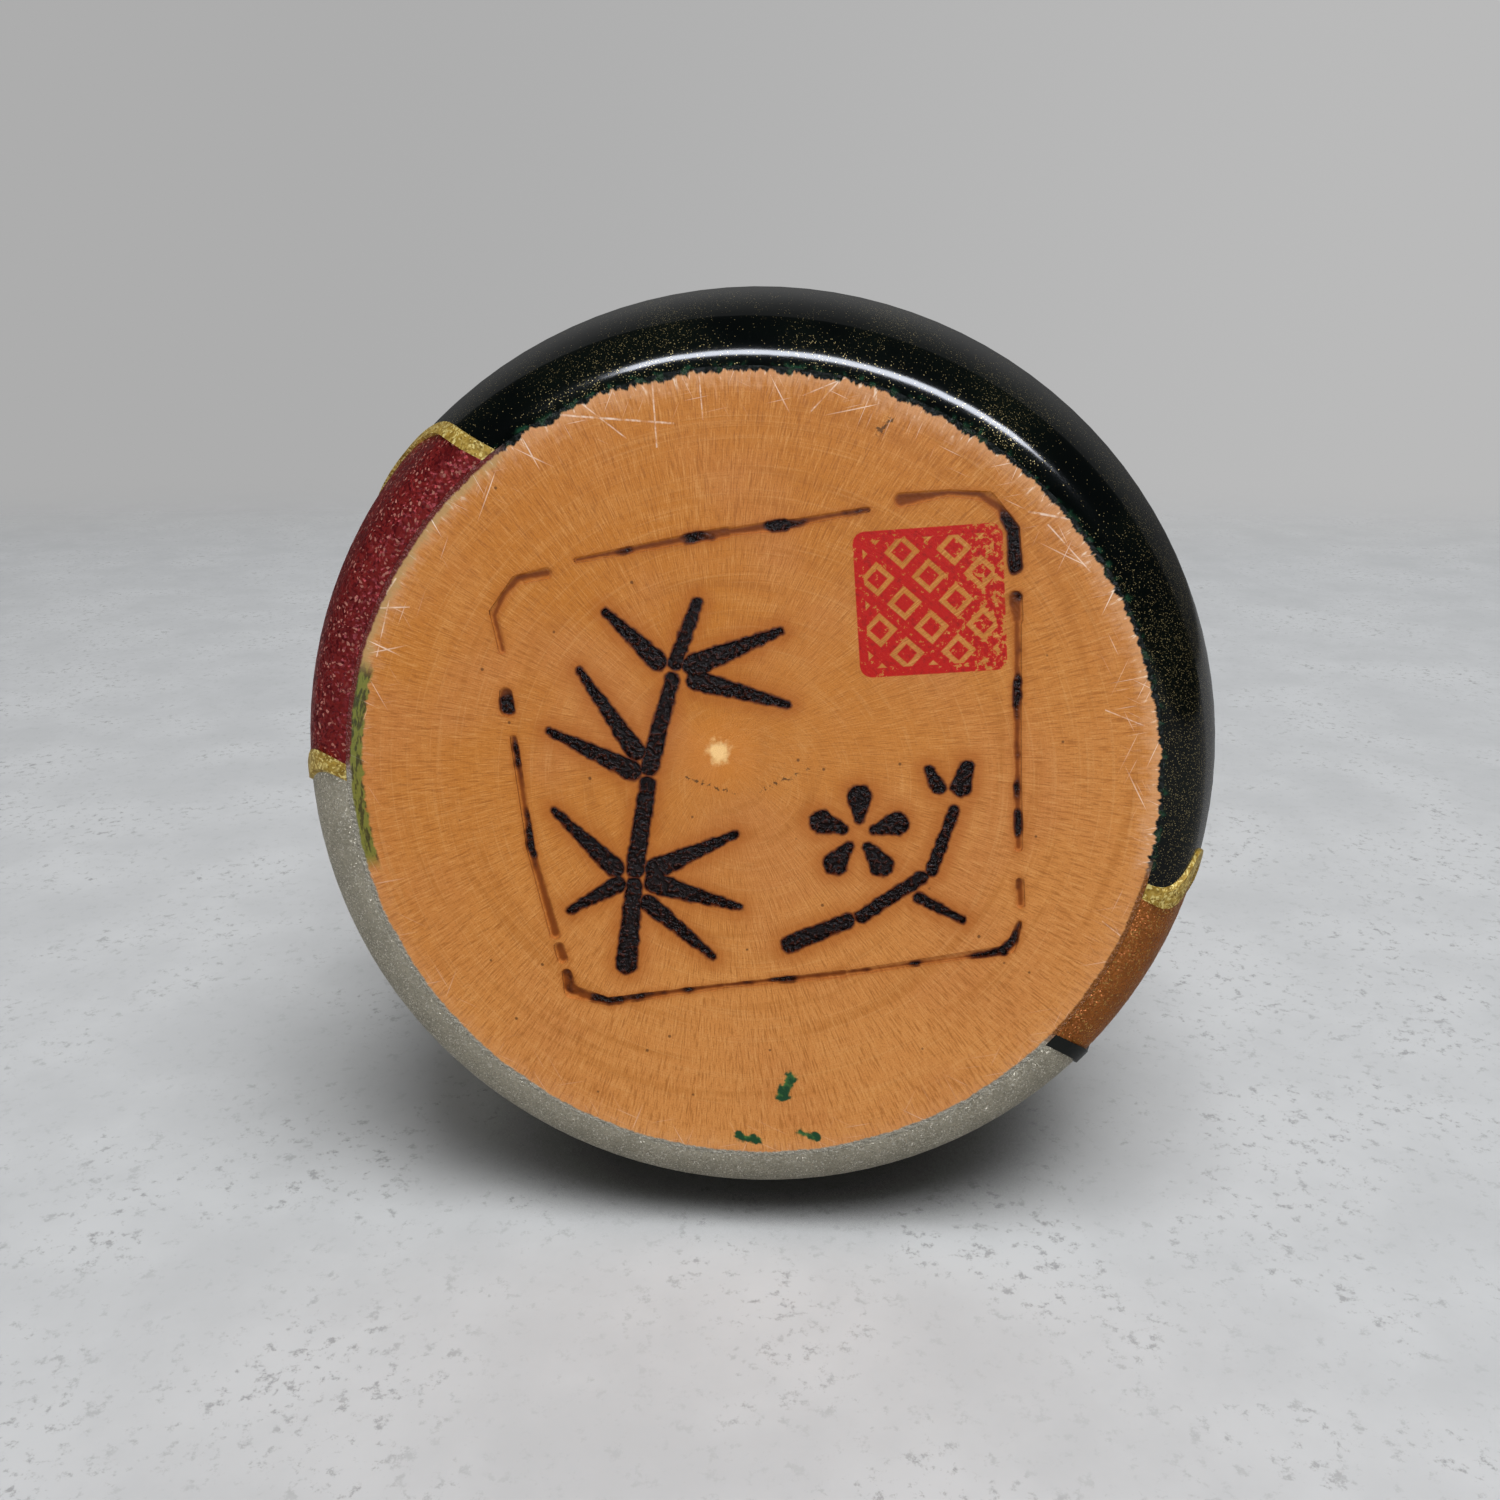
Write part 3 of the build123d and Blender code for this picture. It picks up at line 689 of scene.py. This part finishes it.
# a plum branch sprinkled in gold down the front, in mm across and up from the base
branch = [
    (-25.0, 46.0, 1.10, -17.5, 60.0, 1.00),
    (-17.5, 60.0, 1.00, -12.0, 66.0, 0.85),
    (-12.0, 66.0, 0.85, -5.0, 79.0, 0.75),
    (-5.0, 79.0, 0.75, 3.0, 88.0, 0.65),
    (3.0, 88.0, 0.65, 8.0, 101.0, 0.50),
    (8.0, 101.0, 0.50, 10.5, 115.0, 0.25),
    (-12.0, 66.0, 0.55, -19.0, 82.0, 0.25),
    (-5.0, 79.0, 0.50, 8.0, 76.0, 0.25),
    (8.0, 101.0, 0.35, 17.0, 106.0, 0.22),
]
blossoms = [  # across, up and radius
    (-20.0, 87.0, 5.4),
    (-14.5, 62.0, 6.8),
    (13.0, 75.0, 5.8),
    (1.5, 91.5, 6.4),
    (10.8, 119.0, 4.4),
    (20.0, 107.5, 3.4),
    (-27.0, 57.0, 3.4),
]


def plumBlossom(tree, plan, across, rise, size):
    # five round petals with slits between them and a small dark eye
    offset = addNode(tree, "VectorMath", [plan, (across, rise, 0)], operation="SUBTRACT")
    gap = addNode(tree, "VectorMath", [offset], operation="LENGTH", output="Value")
    aside, above = (addNode(tree, "SeparateXYZ", [offset], output=o) for o in "XY")
    angle = addNode(tree, "Math", [above, aside], operation="ARCTAN2")
    # half the number of petals, as both signs of the cosine count; the size turns each its own way
    angle = addNode(tree, "Math", [angle, 2.5, size], operation="MULTIPLY_ADD")
    petal = addNode(tree, "Math", [addNode(tree, "Math", [angle], operation="COSINE")], operation="ABSOLUTE")
    slit = addNode(tree, "Math", [petal, gap], operation="MULTIPLY")
    reach = addNode(tree, "Math", [petal, 0.5], operation="POWER")
    reach = addNode(tree, "Math", [reach, 0.45 * size, 0.55 * size], operation="MULTIPLY_ADD")
    shape = ramp(tree, addNode(tree, "Math", [gap, reach], operation="SUBTRACT"), 0.12, -0.12)
    eye = addNode(tree, "Math", [ramp(tree, gap, 0.14 * size, 0.18 * size), ramp(tree, slit, 0.2, 0.5)],
                  operation="MULTIPLY")
    return addNode(tree, "Math", [shape, eye], operation="MULTIPLY")


def plumBranch(tree, where):
    # where the gold lies
    x, y, z = (addNode(tree, "SeparateXYZ", [where], output=o) for o in "XYZ")
    plan = addNode(tree, "CombineXYZ", [x, z])
    plan = addNode(tree, "VectorMath", [plan, (perMm,) * 3], operation="MULTIPLY")
    bark = addNode(tree, "TexNoise", {"Vector": plan, "Scale": 0.4, "Detail": 3.0})
    gold = addNode(tree, "Math", [bark, 1.4, strokesDistance(tree, plan, branch)], operation="MULTIPLY_ADD")
    gold = ramp(tree, gold, 0.85, 0.60)
    for blossom in blossoms:
        gold = addNode(tree, "Math", [gold, plumBlossom(tree, plan, *blossom)], operation="MAXIMUM")
    inFront = addNode(tree, "Math", [y, 0.0], operation="LESS_THAN")
    return addNode(tree, "Math", [gold, inFront], operation="MULTIPLY")


def goldOnBlack(tree, where, cloud, colour):
    # gold dust, thickest on the doll's left, and the plum branch sprinkled over it
    # returns the colour, and where it is metal
    chance = flecks(tree, where, lacquer["dustFlake"])
    distance = flecks(tree, where, lacquer["dustFlake"], "Distance")
    flat = addNode(tree, "VectorMath", [where, (1.0, 1.0, 0.0)], operation="MULTIPLY")
    flat = addNode(tree, "VectorMath", [flat], operation="NORMALIZE")
    thick = addNode(tree, "VectorMath", [flat, lacquer["dustiest"]], operation="DOT_PRODUCT", output="Value")
    thick = addNode(tree, "Math", [ramp(tree, thick, 0.80, 0.99, 0.0, 0.30), cloud], operation="ADD")
    kept = addNode(tree, "SeparateXYZ", [chance], output="X")
    kept = addNode(tree, "Math", [ramp(tree, thick, 0.36, 0.80, 0.96, 0.35), kept], operation="LESS_THAN")
    dust = addNode(tree, "Math", [ramp(tree, distance, 0.42, 0.26), kept], operation="MULTIPLY")
    shine = addNode(tree, "SeparateXYZ", [chance], output="Y")
    colour = blend(tree, dust, colour, blend(tree, ramp(tree, shine, 0.3, 1.0), *lacquer["dust"]))
    gold = addNode(tree, "Math", [plumBranch(tree, where), ramp(tree, shine, 0.0, 0.35, 0.35, 1.0)],
                   operation="MULTIPLY")
    colour = blend(tree, gold, colour, blend(tree, shine, *lacquer["gilt"]))
    return colour, addNode(tree, "Math", [dust, 0.85], operation="MULTIPLY")


def blackLacquer(name, low, high, gilded):
    # black over a green undercoat, polished: a deep wet gloss
    material, tree = startMaterial(name)
    where = addNode(tree, "TexCoord", output="Object")
    cloud = addNode(tree, "TexNoise", {"Vector": where, "Scale": 0.09 * perMm, "Detail": 3.0})
    colour = blend(tree, ramp(tree, cloud, 0.35, 0.7), low, high)
    metal = 0.0
    if gilded:
        colour, metal = goldOnBlack(tree, where, cloud, colour)
    colour, bare = foot(tree, colour)
    dents = addNode(tree, "TexNoise", {"Vector": where, "Scale": 0.22 * perMm, "Detail": 2.0})
    normal = addNode(tree, "Bump", {"Strength": 0.5, "Distance": 0.05 / perMm, "Height": dents})
    finishMaterial(tree, addNode(tree, "BsdfPrincipled", {
        "Base Color": colour, "Metallic": metal, "Roughness": ramp(tree, bare, 0.0, 1.0, 0.35, 0.55),
        "IOR": 1.52, "Specular IOR Level": 0.0, "Normal": normal,
        "Coat Weight": 1.0, "Coat Roughness": 0.12, "Coat IOR": 1.52, "Coat Normal": normal}))
    return material


# flakes are in mm across, and the sparkles are painted glints: the share of flakes coloured near white as if
# they lay face on to the light
glitters = {
    "red_robe": {"name": "crimson_glitter_lacquer", "dark": "#5c1117", "middle": "#9c2c2a",
                 "paintedGlintColour": "#f0a090", "flake": 0.24, "paintedGlintShare": 0.05},
    "copper_robe": {"name": "bronze_glitter_lacquer", "dark": "#8d4f20", "middle": "#b86e2f",
                    "paintedGlintColour": "#e8b868", "flake": 0.13, "paintedGlintShare": 0.04},
    "silver_robe": {"name": "silver_glitter_lacquer", "dark": "#96907f", "middle": "#c8c0ac",
                    "paintedGlintColour": "#fcf6e8", "flake": 0.12, "paintedGlintShare": 0.06},
}


def glitterLacquer(glitter):
    # clear lacquer packed with metal flakes that lie at all angles: a fine uneven sparkle
    material, tree = startMaterial(glitter["name"])
    where = addNode(tree, "TexCoord", output="Object")
    chance = flecks(tree, where, glitter["flake"])
    cloud = addNode(tree, "TexNoise", {"Vector": where, "Scale": 0.35 * perMm, "Detail": 4.0})
    shine = addNode(tree, "SeparateXYZ", [chance], output="Y")
    colour = blend(tree, ramp(tree, shine, 0.0, 0.75), glitter["dark"], glitter["middle"])
    colour = blend(tree, ramp(tree, cloud, 0.4, 0.65, 0.0, 0.4), colour, glitter["dark"])
    # painted glints: a few flakes get a near-white colour, standing in for the light they would catch
    paintedGlint = ramp(tree, shine, 1.0 - 2 * glitter["paintedGlintShare"], 1.0 - glitter["paintedGlintShare"])
    colour = blend(tree, paintedGlint, colour, glitter["paintedGlintColour"])
    colour, bare = foot(tree, colour)
    lean = addNode(tree, "VectorMath", [chance, (0.5, 0.5, 0.5)], operation="SUBTRACT")
    lean = addNode(tree, "VectorMath", {"Vector": lean, "Scale": 0.9}, operation="SCALE")
    pits = addNode(tree, "TexNoise", {"Vector": where, "Scale": 2.0 * perMm, "Detail": 3.0})
    grainy = addNode(tree, "Bump", {"Strength": 0.6, "Distance": 0.10 / perMm, "Height": pits})
    tilted = addNode(tree, "VectorMath", [grainy, lean], operation="ADD")
    tilted = addNode(tree, "VectorMath", [tilted], operation="NORMALIZE")
    finishMaterial(tree, addNode(tree, "BsdfPrincipled", {
        "Base Color": colour, "Metallic": ramp(tree, bare, 0.0, 1.0, 0.62, 0.0), "Roughness": 0.42,
        "Normal": tilted, "Coat Weight": 0.15, "Coat Roughness": 0.3, "Coat Normal": grainy}))
    return material


def goldLacquer():
    # gold powder raised with a brush: a bright satin grain
    material, tree = startMaterial("raised_gold_powder_lacquer")
    where = addNode(tree, "TexCoord", output="Object")
    shine = addNode(tree, "SeparateXYZ", [flecks(tree, where, 0.20)], output="Y")
    drag = addNode(tree, "TexNoise", {"Vector": where, "Scale": 0.9 * perMm, "Detail": 4.0})
    colour = blend(tree, ramp(tree, drag, 0.3, 0.7), "#97792f", "#c4a248")
    colour = blend(tree, ramp(tree, shine, 0.55, 1.0), colour, "#efdc8e")
    colour = blend(tree, ramp(tree, shine, 0.30, 0.0, 0.0, 0.6), colour, "#6e4f1c")
    colour, bare = foot(tree, colour)
    normal = addNode(tree, "Bump", {"Strength": 0.8, "Distance": 0.06 / perMm, "Height": drag})
    finishMaterial(tree, addNode(tree, "BsdfPrincipled", {
        "Base Color": colour, "Metallic": ramp(tree, bare, 0.0, 1.0, 0.45, 0.0), "Roughness": 0.38,
        "Normal": normal}))
    return material


# the face is painted alike on both sides, in millimetres out from its middle and up
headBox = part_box("head")
face = {
    "height": (headBox[0].z + headBox[1].z) / 2 * perMm - 2.0,  # a little under the middle of the head
    "lines": [  # eyebrow, eyelid, pupil and nose
        (6.0, 6.4, 0.20, 9.2, 8.1, 0.42),
        (9.2, 8.1, 0.42, 13.4, 8.6, 0.48),
        (13.4, 8.6, 0.48, 18.4, 6.8, 0.18),
        (5.6, -2.4, 0.28, 7.8, -0.9, 0.45),
        (7.8, -0.9, 0.45, 10.8, -0.2, 0.60),
        (10.8, -0.2, 0.60, 14.4, -0.8, 0.60),
        (14.4, -0.8, 0.60, 18.2, -3.2, 0.22),
        (8.8, -1.6, 0.75, 12.0, -1.7, 0.75),
        (1.6, -9.4, 0.22, 0.5, -10.4, 0.30),
    ],
    "lips": [
        (0.0, -15.2, 0.55, 2.2, -14.9, 0.55),
        (0.0, -16.4, 0.75, 1.6, -16.0, 0.50),
    ],
    "cheek": (16.5, -10.0, 0),
    "paints": ("#d9816a", "#a8201c", "#14100e"),  # cheek, lips and lines
}


def paintedHead():
    # pale dogwood with ink lines brushed on and waxed over
    material, tree = startMaterial("painted_pale_dogwood")
    where = addNode(tree, "TexCoord", output="Object")
    wood, fine = longGrain(tree, where)
    x, y, z = (addNode(tree, "SeparateXYZ", [where], output=o) for o in "XYZ")
    sideways = addNode(tree, "Math", [addNode(tree, "Math", [x], operation="ABSOLUTE"), perMm],
                       operation="MULTIPLY")
    rise = addNode(tree, "Math", [z, perMm, -face["height"]], operation="MULTIPLY_ADD")
    plan = addNode(tree, "CombineXYZ", [sideways, rise, 0.0])
    inFront = addNode(tree, "Math", [y, 0.0], operation="LESS_THAN")
    blush = addNode(tree, "VectorMath", [plan, face["cheek"]], operation="DISTANCE", output="Value")
    marks = [ramp(tree, blush, 8.5, 1.0, 0.0, 0.42)]
    brush = addNode(tree, "TexNoise", {"Vector": plan, "Scale": 1.4, "Detail": 3.0})
    brush = addNode(tree, "Math", [brush, 0.24, -0.12], operation="MULTIPLY_ADD")
    for strokes in (face["lips"], face["lines"]):
        gap = addNode(tree, "Math", [strokesDistance(tree, plan, strokes), brush], operation="ADD")
        marks.append(ramp(tree, gap, 0.07, -0.07))
    for mark, paint in zip(marks, face["paints"]):
        mark = addNode(tree, "Math", [mark, inFront], operation="MULTIPLY")
        wood = blend(tree, mark, wood, paint)
    normal = addNode(tree, "Bump", {"Strength": 0.4, "Distance": 0.02 / perMm, "Height": fine})
    finishMaterial(tree, addNode(tree, "BsdfPrincipled", {
        "Base Color": wood, "Roughness": 0.38, "IOR": 1.48, "Normal": normal,
        "Coat Weight": 0.25, "Coat Roughness": 0.2}))
    return material


hair = {
    "colours": ("#0c0b0c", "#231d1b"),
    "strands": 46,  # to the radian
    "drift": 0.03,  # how soon a strand ends on its way down, in noise cells to the millimetre
    "depth": 0.22,
}


def hairLacquer():
    # black lacquer combed while soft, so it shines in lines that run down from the crown
    material, tree = startMaterial("combed_black_lacquer")
    where = addNode(tree, "TexCoord", output="Object")
    flat = addNode(tree, "VectorMath", [where, (perMm, perMm, 0.0)], operation="MULTIPLY")
    outward = addNode(tree, "VectorMath", [flat], operation="NORMALIZE")
    height = addNode(tree, "SeparateXYZ", [where], output="Z")
    height = addNode(tree, "Math", [height, hair["drift"] * perMm], operation="MULTIPLY")
    height = addNode(tree, "CombineXYZ", {"Z": height})
    strands = addNode(tree, "VectorMath", [outward, (hair["strands"],) * 3, height],
                      operation="MULTIPLY_ADD")
    comb = addNode(tree, "TexNoise", {"Vector": strands, "Scale": 1.0, "Detail": 3.0})
    colour = blend(tree, ramp(tree, comb, 0.45, 0.7), *hair["colours"])
    normal = addNode(tree, "Bump", {"Strength": 0.8, "Distance": hair["depth"] / perMm, "Height": comb})
    finishMaterial(tree, addNode(tree, "BsdfPrincipled", {
        "Base Color": colour, "Roughness": 0.34, "Normal": normal,
        "Coat Weight": 0.6, "Coat Roughness": 0.12, "Coat Normal": normal}))
    return material


def plainDogwood():
    # the dowel: raw dogwood, long grain
    material, tree = startMaterial("raw_dogwood_dowel")
    colour, _ = longGrain(tree, addNode(tree, "TexCoord", output="Object"))
    finishMaterial(tree, addNode(tree, "BsdfPrincipled", {"Base Color": colour, "Roughness": 0.6}))
    return material


goldCord = goldLacquer()
finishes = {
    "body": turnedBase(),
    "neck_dowel": plainDogwood(),
    "front_robe": blackLacquer("gold_dusted_black_lacquer", "#030505", "#070c09", True),
    "red_inner_cord": goldCord,
    "red_outer_cord": goldCord,
    "copper_inner_cord": goldCord,
    "copper_outer_cord": blackLacquer("polished_black_lacquer", "#0b0d0c", "#151714", False),
    "head": paintedHead(),
    "hair": hairLacquer(),
}
for name, glitter in glitters.items():
    finishes[name] = glitterLacquer(glitter)
for name, material in finishes.items():
    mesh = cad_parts[name].data
    mesh.materials.clear()
    mesh.materials.append(material)
print("materials made")
